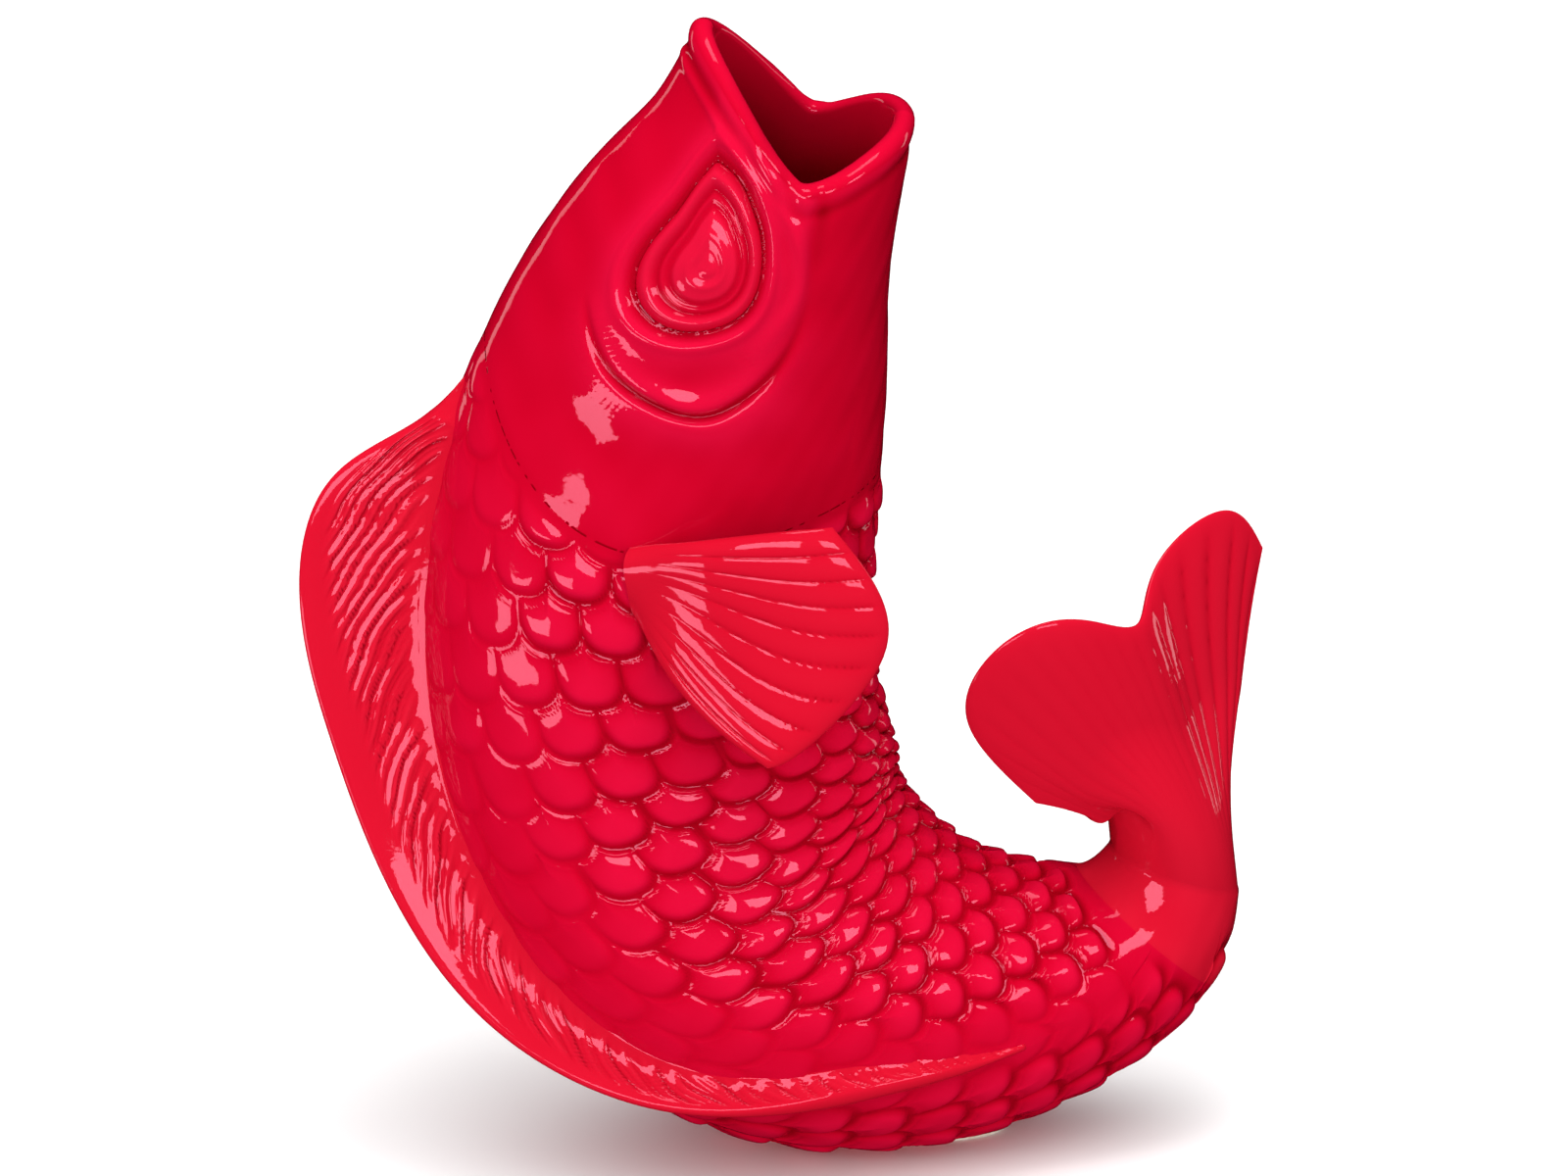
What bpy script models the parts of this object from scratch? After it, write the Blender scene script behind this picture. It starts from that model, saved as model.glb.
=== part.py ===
"""A standing carp vase: head up with an open mouth, body curling round to a raised tail.

+X is the side that the belly and the tail are on, +Z is up, and the fish shows its right
flank towards -Y. The origin is the middle of the foot, on the table. Lengths are worked
out in millimetres and made metres when a mesh is written.
"""

import math

import bmesh
import bpy
import numpy as np

MM = 0.001
GAP = 0.35
WALL = 5.0
FOOT_HEIGHT = 1.5
AROUND = 40

# Stations down the fish from the mouth to the root of the tail fin: the middle of the
# section (x, y, z), its half depth from back to belly, its half width, the roll in degrees
# that turns the back towards -Y, and how much narrower the back is than the belly.
STATIONS = np.array([
    [-18, -16, 288.5, 29, 25, 0, 0.3],
    [-25, -12, 265.5, 33.5, 29, 0, 0.28],
    [-35, -8, 242.5, 41.5, 34, 0, 0.22],
    [-50, 0, 195.5, 53.5, 41, 5, 0.15],
    [-59, 3, 145.5, 58.5, 46, 15, 0.12],
    [-54, 4, 97.5, 60.5, 47, 30, 0.1],
    [-30.5, 2, 57.5, 58, 49, 52, 0.08],
    [5, 0, 41, 48.5, 44, 78, 0.05],
    [40, 1, 41, 35, 33, 84, 0],
    [70, 5, 54.5, 24.5, 23, 92, 0],
    [80, 7, 76, 19, 15.5, 98, 0],
])
REACH = np.concatenate([[0.0], np.cumsum(np.linalg.norm(np.diff(STATIONS[:, :3], axis=0), axis=1))])


def curve(knots, values, at):
    """A natural cubic curve through values at the knots, read at the places in at."""
    knots = np.asarray(knots, float)
    values = np.asarray(values, float).reshape(len(knots), -1)
    step = np.diff(knots)
    slope = np.diff(values, axis=0) / step[:, None]
    bends = np.eye(len(knots))
    pull = np.zeros_like(values)
    for i in range(1, len(knots) - 1):
        bends[i, i - 1:i + 2] = step[i - 1], 2 * (step[i - 1] + step[i]), step[i]
        pull[i] = 6 * (slope[i] - slope[i - 1])
    bend = np.linalg.solve(bends, pull)
    at = np.asarray(at, float)
    i = np.clip(np.searchsorted(knots, at) - 1, 0, len(knots) - 2)
    past = (at - knots[i])[..., None]
    left = (knots[i + 1] - at)[..., None]
    h = step[i][..., None]
    return (
        (bend[i] * left ** 3 + bend[i + 1] * past ** 3) / (6 * h)
        + (values[i] / h - bend[i] * h / 6) * left
        + (values[i + 1] / h - bend[i + 1] * h / 6) * past
    )


def unit(vectors):
    return vectors / np.linalg.norm(vectors, axis=-1, keepdims=True)


def section(s):
    """The section s mm from the mouth: its middle, the directions of its back and flank, and its sizes."""
    row = curve(REACH, STATIONS, s)
    ahead = curve(REACH, STATIONS[:, :3], np.asarray(s) + 0.5)
    behind = curve(REACH, STATIONS[:, :3], np.asarray(s) - 0.5)
    along = unit(ahead - behind)
    side = np.array([0.0, -1.0, 0.0])
    side = unit(side - along * (along @ side)[..., None])
    back = np.cross(along, side)
    roll = np.radians(row[..., 5:6])
    return (
        row[..., :3],
        np.cos(roll) * back + np.sin(roll) * side,
        np.cos(roll) * side - np.sin(roll) * back,
        row[..., 3:4],
        row[..., 4:5],
        row[..., 6:7],
    )


def skin(s, angle, inset=0.0):
    """The body's surface: angle is 0 on the back, a quarter turn on the right flank."""
    middle, back, flank, depth, width, egg = section(s)
    up = np.cos(np.asarray(angle))[..., None]
    out = np.sin(np.asarray(angle))[..., None] * (1 - egg * up)
    inset = np.asarray(inset)[..., None]
    return middle + back * (depth - inset) * up + flank * (width - inset) * out


# The gill cover's edge, and the lip of the mouth with its two set-back corners.
CORNER = math.radians(103)
SPREAD_ABOVE = math.radians(50)
SPREAD_BELOW = math.radians(35)
CORNER_SETBACK = 19.0
LIP_TILT = 5.0

# The inside of the body ends in a dome before the tail.
DOME_START = 282.0
DOME_END = 305.0
TRUNK_END = 335.0
STALK_END = 370.0

# The back fin: distance down the fish and height above the back.
BACK_FIN = np.array([
    [104, 0.8], [115, 8], [126, 23], [138, 30.5], [174, 25], [222, 18.5], [256, 9], [284, 5], [312, 1.5],
])
BACK_FIN_ROOT = 5.5
BACK_FIN_ROWS = 46

# Rays of the right breast fin: root, middle and tip.
BREAST_FIN = np.array([
    [[-59, -47.5, 170], [-30, -58, 179], [-10, -52, 178]],
    [[-59, -47.5, 166], [-25, -61, 169], [1, -57, 161]],
    [[-58, -47.5, 162], [-25, -62, 158], [0, -61, 145]],
    [[-56, -47.5, 156], [-36, -60, 142], [-18, -66, 125]],
    [[-55, -47.5, 153], [-46, -56, 138], [-26, -66, 122]],
], float)
BREAST_FIN_HALF = 2.2
BREAST_FIN_REACH = 144.0

# Rays of the tail fin: middle and tip. Each starts on a line across the end of the stalk.
TAIL_FIN = np.array([
    [[64, -16, 91], [41, -22, 97]],
    [[59, -20, 100], [23.5, -28, 120]],
    [[62, -21, 113], [28, -30, 138]],
    [[67, -18, 118], [41, -28, 146.5]],
    [[73, -12, 118], [55, -22, 145.5]],
    [[77, -5, 115], [67, -12, 142]],
    [[82, 5, 115], [72.5, 4, 153]],
    [[90, 18, 117], [90, 21, 162]],
    [[93.5, 24, 112], [101, 29, 149.5]],
], float)
TAIL_ROOT = 16.0
TAIL_ROOT_HALF = 12.5
TAIL_EDGE_HALF = 2.5

# The eye: a pointed drop on the cheek, its sharp end towards the mouth.
EYE_REACH = 45.0
EYE_ANGLE = math.radians(81)
EYE_HALF_LENGTH = 15.0
EYE_HALF_ANGLE = math.radians(22)
EYE_HEIGHT = 3.0
EYE_COLUMNS = 24
EYE_ROWS = 10

FOOT_LENGTH = 68.0
FOOT_WIDTH = 24.0
FOOT_SIDES = 40

RED_GLAZE = (0.62, 0.003, 0.025)
BARE_CLAY = (0.72, 0.64, 0.53)


def lip(angle):
    """Where the mouth's edge is: the upper lip reaches further than the lower, the corners least."""
    off = np.abs(turned(angle)) - CORNER
    off = np.where(off > 0, off / SPREAD_BELOW, -off / SPREAD_ABOVE)
    return CORNER_SETBACK * np.exp(-off ** 1.5) - LIP_TILT * np.cos(angle)


def turned(angle):
    """The same direction between half a turn back and half a turn on."""
    return (np.asarray(angle) + math.pi) % (2 * math.pi) - math.pi


def gill(angle):
    """Where the smooth head ends and the scaly body starts."""
    return 110.5 - 14 * np.cos(2 * angle) - 4.7 * np.cos(3 * angle)


def settle(points, floor):
    """Flattens the underside where it would go below the floor."""
    over = points[:, 2] - floor
    points[:, 2] = floor + (over + np.sqrt(over ** 2 + 1)) / 2
    return points


def glazed(name, colour, roughness):
    material = bpy.data.materials.new(name)
    material.use_nodes = True
    shader = material.node_tree.nodes["Principled BSDF"]
    shader.inputs["Base Color"].default_value = (*colour, 1)
    shader.inputs["Roughness"].default_value = roughness
    shader.inputs["Metallic"].default_value = 0.0
    material.diffuse_color = (*colour, 1)
    return material


def wrap(name, columns, rows, place, colour=RED_GLAZE, roughness=0.08):
    """A grid moved onto place(column, row), welded where its edges and poles meet."""
    shape = bmesh.new()
    bmesh.ops.create_grid(shape, x_segments=columns, y_segments=rows, size=0.5)
    grid = np.array([vert.co for vert in shape.verts])
    points = place((grid[:, 0] + 0.5) * columns, (grid[:, 1] + 0.5) * rows)
    for vert, point in zip(shape.verts, points * MM):
        vert.co = point
    bmesh.ops.remove_doubles(shape, verts=shape.verts, dist=0.00002)
    bmesh.ops.dissolve_degenerate(shape, edges=shape.edges, dist=0.00002)
    bmesh.ops.recalc_face_normals(shape, faces=shape.faces)
    mesh = bpy.data.meshes.new(name)
    shape.to_mesh(mesh)
    shape.free()
    mesh.shade_smooth()
    mesh.set_sharp_from_angle(angle=math.radians(40))
    mesh.materials.append(glazed(name, colour, roughness))
    part = bpy.data.objects.new(name, mesh)
    bpy.context.collection.objects.link(part)
    return part


def at_row(profile, row):
    """Reads each column of a profile at whole rows."""
    return np.asarray(profile)[np.rint(row).astype(int)].T


def head_shell():
    """From the gill edge up the outside, over the rounded lip and down the inside."""
    bead = WALL / 2
    profile = [(f, 0, 0) for f in np.linspace(0, 1, 13)]
    profile += [(1, math.sin(a), bead - bead * math.cos(a)) for a in np.linspace(0, math.pi, 6)[1:-1]]
    profile += [(f, 0, WALL) for f in np.linspace(1, 0, 10)]
    profile.append(profile[0])

    def place(column, row):
        angle = 2 * math.pi * column / AROUND
        share, over, inset = at_row(profile, row)
        start = gill(angle) - GAP / 2
        end = lip(angle) + bead
        return skin(start + (end - start) * share - bead * over, angle, inset)

    return wrap("head_shell", AROUND, len(profile) - 1, place)


def trunk_shell():
    """From the dome of the hollow up its inside, across the gill edge and down the outside."""
    profile = [(0, math.cos(a), math.sin(a), WALL) for a in np.linspace(0, math.pi / 2, 6)]
    profile += [(f, 0, 1, WALL) for f in np.linspace(0, 1, 15)[1:]]
    inside = len(profile)
    profile += [(f, 0, 1, 0) for f in np.linspace(1, 0, 27)]
    profile += [(0, 0, 0.5, 0), (0, 0, 0, 0)]

    def place(column, row):
        angle = 2 * math.pi * column / AROUND
        share, dome, size, inset = at_row(profile, row)
        start = np.where(row < inside, DOME_START + (DOME_END - DOME_START) * dome, TRUNK_END)
        s = start + (gill(angle) + GAP - start) * share
        middle = section(s)[0]
        points = middle + (skin(s, angle, inset) - middle) * size[:, None]
        return settle(points, FOOT_HEIGHT + GAP + inset)

    return wrap("trunk_shell", AROUND, len(profile) - 1, place)


def tail_stalk():
    profile = [(0, 0), (0, 0.5)] + [(f, 1) for f in np.linspace(0, 1, 6)] + [(1, 0.5), (1, 0)]

    def place(column, row):
        share, size = at_row(profile, row)
        s = TRUNK_END + GAP + (STALK_END - TRUNK_END - GAP) * share
        middle = section(s)[0]
        return middle + (skin(s, 2 * math.pi * column / AROUND) - middle) * size[:, None]

    return wrap("tail_stalk", AROUND, len(profile) - 1, place)


def back_fin():
    """A blade along the back: wide at its root, which follows the skin, and rounded on top."""
    rise = np.array([0, 0, 0, 0.25, 0.5, 0.8, 0.95, 1, 0.95, 0.8, 0.5, 0.25, 0])
    side = np.array([1, 0, -1, -0.75, -0.55, -0.42, -0.28, 0, 0.28, 0.42, 0.55, 0.75, 1])
    def place(column, row):
        share = np.clip((row - 1) / (BACK_FIN_ROWS - 2), 0, 1)
        s = BACK_FIN[0, 0] + (BACK_FIN[-1, 0] - BACK_FIN[0, 0]) * share
        middle, back, flank, depth, width, _ = section(s)
        height = curve(BACK_FIN[:, 0], BACK_FIN[:, 1], s)[:, 0]
        closed = ((row == 0) | (row == BACK_FIN_ROWS)).astype(float)
        half = BACK_FIN_ROOT * np.clip(height / 6, 0.35, 1)
        up = rise[np.rint(column).astype(int)]
        out = side[np.rint(column).astype(int)] * half * (1 - closed)
        up = np.where(closed == 1, 0.3, up)
        base = depth[:, 0] * np.sqrt(1 - (out / width[:, 0]) ** 2) + GAP
        return middle + back * (base + height * up)[:, None] + flank * out[:, None]

    return wrap("back_fin", len(rise) - 1, BACK_FIN_ROWS, place)


def fan(rays, u, v):
    """A fin's middle surface: u goes across its rays, v from their roots to their tips."""
    knots = np.linspace(0, 1, len(rays))
    root, middle, tip = (curve(knots, rays[:, k], u) for k in range(3))
    v = v[:, None]
    return root * (1 - v) ** 2 + middle * 2 * v * (1 - v) + tip * v ** 2


def fan_sheet(name, rays, root_half, edge_half, columns, rows, seat=np.zeros(3)):
    """A fin with two faces that meet in a rounded edge, and a root that is flat across the seat's normal."""

    def place(column, row):
        u = (1 - np.cos(math.pi * column / columns)) / 2
        back = row > rows
        down = np.where(row > 2 * rows, 0, np.where(back, 2 * rows - row, row)) / rows
        v = np.sin(down * math.pi / 2)
        step = 0.01
        across = fan(rays, u + step, v) - fan(rays, u - step, v)
        along = fan(rays, u, v + step) - fan(rays, u, v - step)
        facing = np.cross(across, along)
        facing = unit(facing - seat * ((facing @ seat) * (1 - v) ** 2)[:, None])
        half = edge_half + (root_half - edge_half) * (1 - v) ** 2
        half = half * np.sqrt(1 - v ** 8) * np.sqrt(np.clip(1 - np.abs(2 * u - 1) ** (2 + 4 * v), 0, 1))
        half = half * np.where(back | (row == rows), -1, 1)
        half = np.where(row == 2 * rows + 1, np.abs(half), half)
        return fan(rays, u, v) + facing * half[:, None]

    return wrap(name, columns, 2 * rows + 1, place)


def tail_fin():
    """Two lobes in one folded fan, the near one towards the belly and the far one upright."""
    middle, back, flank, *_ = section(np.array([STALK_END]))
    along = np.cross(flank, back)
    across = unit(flank + back)
    spread = np.linspace(1, -1, len(TAIL_FIN))[:, None]
    root = middle + along * GAP * 2 + across * spread * TAIL_ROOT
    rays = np.concatenate([root[:, None], TAIL_FIN], axis=1)
    return fan_sheet("tail_fin", rays, TAIL_ROOT_HALF, TAIL_EDGE_HALF, 20, 12, along[0])


def breast_fins():
    """The right breast fin, and the left one as its mirror image across the middle of the fish."""
    fan_sheet("breast_fin_right", BREAST_FIN, BREAST_FIN_HALF, BREAST_FIN_HALF, 12, 8)
    middle, _, flank, *_ = section(np.array(BREAST_FIN_REACH))
    away = (BREAST_FIN - middle) @ flank
    mirrored = BREAST_FIN - 2 * away[..., None] * flank
    fan_sheet("breast_fin_left", mirrored[::-1], BREAST_FIN_HALF, BREAST_FIN_HALF, 12, 8)


def eye(name, side):
    """A drop-shaped dome whose base follows the cheek."""
    def place(column, row):
        turn = 2 * math.pi * column / EYE_COLUMNS
        out = 1 - np.abs(row / EYE_ROWS * 2 - 1)
        s = EYE_REACH - EYE_HALF_LENGTH * np.cos(turn) * out
        angle = EYE_ANGLE + EYE_HALF_ANGLE * np.sin(turn) * np.sin(turn / 2) * out
        height = np.where(row < EYE_ROWS / 2, EYE_HEIGHT * (1 - out ** 2), 0)
        return skin(s, side * angle, -GAP - height)

    return wrap(name, EYE_COLUMNS, EYE_ROWS, place, roughness=0.06)


def foot():
    """An oval pad of bare clay under the belly, hollowed to its curve."""
    shape = bmesh.new()
    bmesh.ops.create_cone(shape, cap_ends=True, segments=FOOT_SIDES, radius1=0.5, radius2=0.5, depth=1)
    bmesh.ops.scale(shape, vec=(FOOT_LENGTH * MM, FOOT_WIDTH * MM, FOOT_HEIGHT * MM), verts=shape.verts)
    bmesh.ops.translate(shape, vec=(0, 0, FOOT_HEIGHT * MM / 2), verts=shape.verts)
    mesh = bpy.data.meshes.new("foot")
    shape.to_mesh(mesh)
    shape.free()
    mesh.materials.append(glazed("foot", BARE_CLAY, 0.85))
    part = bpy.data.objects.new("foot", mesh)
    bpy.context.collection.objects.link(part)
    return part


def main():
    for old in list(bpy.data.objects):
        bpy.data.objects.remove(old)
    head_shell()
    trunk_shell()
    tail_stalk()
    back_fin()
    tail_fin()
    breast_fins()
    eye("eye_right", 1)
    eye("eye_left", -1)
    foot()


main()
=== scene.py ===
"""The visual model of a standing carp vase in red glazed ceramic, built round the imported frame.

Lengths are worked out in millimetres in the frame's axes and made metres when a mesh is
written. The body's stations are the same as the solid model's, and every piece is a finer
skin over much the same shape: scales, ribs, rings and rims are moulded in, not only shaded.
"""

import math

import bmesh
import bpy
import numpy as np
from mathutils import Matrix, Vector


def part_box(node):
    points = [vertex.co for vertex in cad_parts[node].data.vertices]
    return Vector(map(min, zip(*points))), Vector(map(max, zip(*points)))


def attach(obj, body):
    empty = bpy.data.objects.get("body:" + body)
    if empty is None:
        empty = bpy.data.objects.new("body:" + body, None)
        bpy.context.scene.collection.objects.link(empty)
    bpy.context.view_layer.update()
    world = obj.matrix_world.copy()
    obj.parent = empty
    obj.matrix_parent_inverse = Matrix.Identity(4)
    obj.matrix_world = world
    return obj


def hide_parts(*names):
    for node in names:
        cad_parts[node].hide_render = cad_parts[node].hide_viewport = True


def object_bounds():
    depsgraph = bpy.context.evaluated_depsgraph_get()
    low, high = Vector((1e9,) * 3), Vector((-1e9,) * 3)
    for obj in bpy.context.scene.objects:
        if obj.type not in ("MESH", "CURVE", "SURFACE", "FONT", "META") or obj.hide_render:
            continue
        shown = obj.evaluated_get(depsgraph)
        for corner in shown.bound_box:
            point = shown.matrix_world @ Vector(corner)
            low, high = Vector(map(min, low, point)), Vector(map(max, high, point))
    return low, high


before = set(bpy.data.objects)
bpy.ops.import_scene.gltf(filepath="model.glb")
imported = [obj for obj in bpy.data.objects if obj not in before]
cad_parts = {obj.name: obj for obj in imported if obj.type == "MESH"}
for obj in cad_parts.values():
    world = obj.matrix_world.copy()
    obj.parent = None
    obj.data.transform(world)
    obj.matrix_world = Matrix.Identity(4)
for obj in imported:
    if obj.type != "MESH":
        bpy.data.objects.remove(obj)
cad_low, cad_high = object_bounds()

MM = 0.001
GAP = 0.35
WALL = 5.0
AROUND = 440

# Stations down the fish from the mouth to the root of the tail fin: the middle of the
# section (x, y, z), its half depth from back to belly, its half width, the roll in degrees
# that turns the back towards -Y, and how much narrower the back is than the belly.
STATIONS = np.array([
    [-18, -16, 288.5, 29, 25, 0, 0.3],
    [-25, -12, 265.5, 33.5, 29, 0, 0.28],
    [-35, -8, 242.5, 41.5, 34, 0, 0.22],
    [-50, 0, 195.5, 53.5, 41, 5, 0.15],
    [-59, 3, 145.5, 58.5, 46, 15, 0.12],
    [-54, 4, 97.5, 60.5, 47, 30, 0.1],
    [-30.5, 2, 57.5, 58, 49, 52, 0.08],
    [5, 0, 41, 48.5, 44, 78, 0.05],
    [40, 1, 41, 35, 33, 84, 0],
    [70, 5, 54.5, 24.5, 23, 92, 0],
    [80, 7, 76, 19, 15.5, 98, 0],
])
REACH = np.concatenate([[0.0], np.cumsum(np.linalg.norm(np.diff(STATIONS[:, :3], axis=0), axis=1))])

# Where the pieces meet, in mm from the mouth, and the dome that closes the hollow.
WAIST = 222.0
TRUNK_END = 335.0
STALK_JOIN = 353.0
STALK_END = 370.0
DOME_START = 282.0
DOME_END = 305.0
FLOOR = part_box("foot")[1][2] / MM + GAP

# The lip of the mouth, with its two set-back corners.
CORNER = math.radians(103)
SPREAD_ABOVE = math.radians(50)
SPREAD_BELOW = math.radians(35)
CORNER_SETBACK = 19.0
LIP_TILT = 5.0

# The scales: their width down the fish, each row's step as a share of it, how far a scale's
# free edge reaches in rows, and how high it stands. Then the lengths over which its edge
# rounds off and its root rises from under the scale before, how deep all of them are sunk,
# and the level of bare skin.
SCALE_AT = [90, 180, 250, 300, 350]
SCALE_WIDTH = [15.5, 15.5, 14.5, 13.0, 11.5]
SCALE_STEP = 0.88
SCALE_TIP = 0.58
SCALE_HEIGHT = 2.0
SCALE_EDGE = 1.3
SCALE_RISE = 3.1
SCALE_SUNK = 0.55
BARE_LEVEL = 0.45

# Past the gill the head's skin fades into the scaly one, and the first scales are shallow.
GILL_BLEND = 5.0
GILL_SHALLOW = 9.0
GILL_LEVEL = 0.3

# The lip raised along the gill cover's edge: its height and how far up the head it reaches.
GILL_LIP = 0.3
GILL_LIP_REACH = 22.0


def curve(knots, values, at):
    """A natural cubic curve through values at the knots, read at the places in at."""
    knots = np.asarray(knots, float)
    values = np.asarray(values, float).reshape(len(knots), -1)
    step = np.diff(knots)
    slope = np.diff(values, axis=0) / step[:, None]
    bends = np.eye(len(knots))
    pull = np.zeros_like(values)
    for i in range(1, len(knots) - 1):
        bends[i, i - 1:i + 2] = step[i - 1], 2 * (step[i - 1] + step[i]), step[i]
        pull[i] = 6 * (slope[i] - slope[i - 1])
    bend = np.linalg.solve(bends, pull)
    at = np.asarray(at, float)
    i = np.clip(np.searchsorted(knots, at) - 1, 0, len(knots) - 2)
    past = (at - knots[i])[..., None]
    left = (knots[i + 1] - at)[..., None]
    h = step[i][..., None]
    return (
        (bend[i] * left ** 3 + bend[i + 1] * past ** 3) / (6 * h)
        + (values[i] / h - bend[i] * h / 6) * left
        + (values[i + 1] / h - bend[i + 1] * h / 6) * past
    )


def unit(vectors):
    return vectors / np.maximum(np.linalg.norm(vectors, axis=-1, keepdims=True), 1e-12)


def ease(low, high, x):
    """0 below low, 1 above high, and a smooth step between."""
    t = np.clip((np.asarray(x, float) - low) / (high - low), 0, 1)
    return t * t * (3 - 2 * t)


def hump(x, middle, width):
    return np.exp(-((x - middle) / width) ** 2)


def section(s):
    """The section s mm from the mouth: its middle, the directions of its back and flank, and its sizes."""
    row = curve(REACH, STATIONS, s)
    ahead = curve(REACH, STATIONS[:, :3], np.asarray(s) + 0.5)
    behind = curve(REACH, STATIONS[:, :3], np.asarray(s) - 0.5)
    along = unit(ahead - behind)
    side = np.array([0.0, -1.0, 0.0])
    side = unit(side - along * (along @ side)[..., None])
    back = np.cross(along, side)
    roll = np.radians(row[..., 5:6])
    return (
        row[..., :3],
        np.cos(roll) * back + np.sin(roll) * side,
        np.cos(roll) * side - np.sin(roll) * back,
        row[..., 3:4],
        row[..., 4:5],
        row[..., 6:7],
    )


def skin(s, angle, inset=0.0):
    """The body's plain surface: angle is 0 on the back, a quarter turn on the right flank."""
    middle, back, flank, depth, width, egg = section(s)
    up = np.cos(np.asarray(angle))[..., None]
    out = np.sin(np.asarray(angle))[..., None] * (1 - egg * up)
    inset = np.asarray(inset)[..., None]
    return middle + back * (depth - inset) * up + flank * (width - inset) * out


def skin_facing(s, angle):
    along = skin(s + 0.5, angle) - skin(s - 0.5, angle)
    round_it = skin(s, angle + 0.01) - skin(s, angle - 0.01)
    facing = unit(np.cross(along, round_it))
    outwards = skin(s, angle) - section(s)[0]
    return facing * np.sign((facing * outwards).sum(-1, keepdims=True))


def turned(angle):
    """The same direction between half a turn back and half a turn on."""
    return (np.asarray(angle) + math.pi) % (2 * math.pi) - math.pi


def lip(angle):
    """Where the mouth's edge is: the upper lip reaches further than the lower, the corners least."""
    off = np.abs(turned(angle)) - CORNER
    off = np.where(off > 0, off / SPREAD_BELOW, -off / SPREAD_ABOVE)
    return CORNER_SETBACK * np.exp(-off ** 1.5) - LIP_TILT * np.cos(angle)


def gill(angle):
    """Where the smooth head ends and the scaly body starts."""
    return 110.5 - 14 * np.cos(2 * angle) - 4.7 * np.cos(3 * angle)


def settle(points, floor):
    """Flattens the underside where it would go below the floor."""
    over = points[:, 2] - floor
    points[:, 2] = floor + (over + np.sqrt(over ** 2 + 1)) / 2
    return points


# ---- the scales ----

FINE = np.linspace(0, 400, 1601)
SIZES = curve(REACH, STATIONS[:, 3:5], np.clip(FINE, 0, REACH[-1]))
HALF_GIRTH = math.pi * np.sqrt((SIZES ** 2).sum(1) / 2)
FINE_WIDTH = np.interp(FINE, SCALE_AT, SCALE_WIDTH)
FINE_ROW = np.cumsum(0.25 * 1.12 / (SCALE_STEP * FINE_WIDTH))


def chance(*numbers):
    """A number between 0 and 1 that is always the same for the same scale or rib."""
    mixed = sum(n * k for n, k in zip(numbers, (12.9898, 78.233, 37.719)))
    return np.abs(np.sin(mixed) * 43758.5453) % 1.0


def scales(s, angle):
    """How high the moulded scales stand, from 0 in the grooves to about 1, over the body behind the gill."""
    angle = turned(angle)
    width = np.interp(s, FINE, FINE_WIDTH)
    down = np.interp(s, FINE, FINE_ROW)
    across = np.interp(s, FINE, HALF_GIRTH) * (np.abs(angle) / math.pi - 0.5) / width
    side = np.sign(angle)
    last = np.where(angle > 0, 335 + 6 * np.cos(angle), 352 - 6 * np.cos(2 * angle))
    height = np.zeros_like(down)
    owned = np.zeros(down.shape, bool)
    clear = np.maximum(s - gill(angle), 0.0)
    for step in (-2, -1, 0, 1, 2):
        row = np.floor(down) + step
        across_row = across - 0.5 * (row % 2)
        column = np.rint(across_row)
        luck = chance(row, column, side)
        tilt = chance(column, row, side) - 0.5
        x = 2 * np.abs(across_row - column + 0.1 * tilt)
        y = down - row + 0.14 * (luck - 0.5)
        inside = (1 - np.sqrt(x ** 2.6 + (np.maximum(y, 0) / SCALE_TIP) ** 2)) * width / 2
        first = np.interp(row, FINE_ROW, FINE)
        alive = first < last
        own = (inside > 0) & ~owned & alive
        lift = np.clip((y + 0.8) / (SCALE_TIP + 0.8), 0, 1)
        top = (0.68 + 0.32 * lift) * (1 - 0.36 * x ** 2) * (0.84 + 0.32 * luck)
        top = top + 0.5 * tilt * (across_row - column)
        rounded = 1 - np.exp(-(np.maximum(inside, 0) / SCALE_EDGE) ** 1.5)
        emerging = 1 - np.exp(-(clear / SCALE_RISE) ** 1.5)
        crease = 0.16 * hump(clear, 1.9, 0.5) * ease(0, 1.5, inside)
        height = np.where(own, top * rounded * emerging + crease, height)
        owned |= own
        clear = np.where(owned | ~alive, clear, np.minimum(clear, np.maximum(-inside, 0)))
    bare = 0.55 * (1 - np.exp(-(clear / 2.5) ** 1.7))
    return np.where(owned, height, bare)


def scale_strength(s, angle):
    """Scales are faint beside the back fin and at the nape, and full over the flanks and belly."""
    angle = np.degrees(turned(angle))
    start = np.interp(s, [110, 180, 240, 300], [34, 34, 22, 6])
    full = np.interp(s, [110, 180, 240, 300], [64, 68, 50, 26])
    right = ease(0, 1, (angle - start) / (full - start))
    left = ease(0, 1, (-angle - start / 2) / (full / 2 - start / 2 + 4))
    return 0.22 + 0.78 * np.where(angle > 0, right, left)


# ---- the head ----

# The middle of the eye, and lines on the right cheek as (mm from the mouth, degrees from the back).
EYE = (45.0, 81.0)
CHEEK = 0.66
CRESCENT = [(66, 46), (72, 52), (80, 63), (84, 77), (84, 90), (79, 100), (69, 110), (56, 118), (42, 121)]
LIP_FOLD = [(10, 76), (17, 81), (24, 94), (31, 106), (37, 113), (45, 115), (54, 111), (65, 103)]
CORNER_FOLD = [(21, 104), (27, 109), (35, 110), (44, 108)]


def cheek(s, angle):
    """Flat place on the cheek beside the eye: millimetres round the head and down it."""
    degrees = np.degrees(np.abs(turned(angle)))
    return np.stack([(degrees - EYE[1]) * CHEEK, s - EYE[0]], -1)


def line_on_cheek(points, count=80):
    points = np.array(points, float)
    points = np.stack([(points[:, 1] - EYE[1]) * CHEEK, points[:, 0] - EYE[0]], -1)
    knots = np.linspace(0, 1, len(points))
    return curve(knots, points, np.linspace(0, 1, count))


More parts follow.
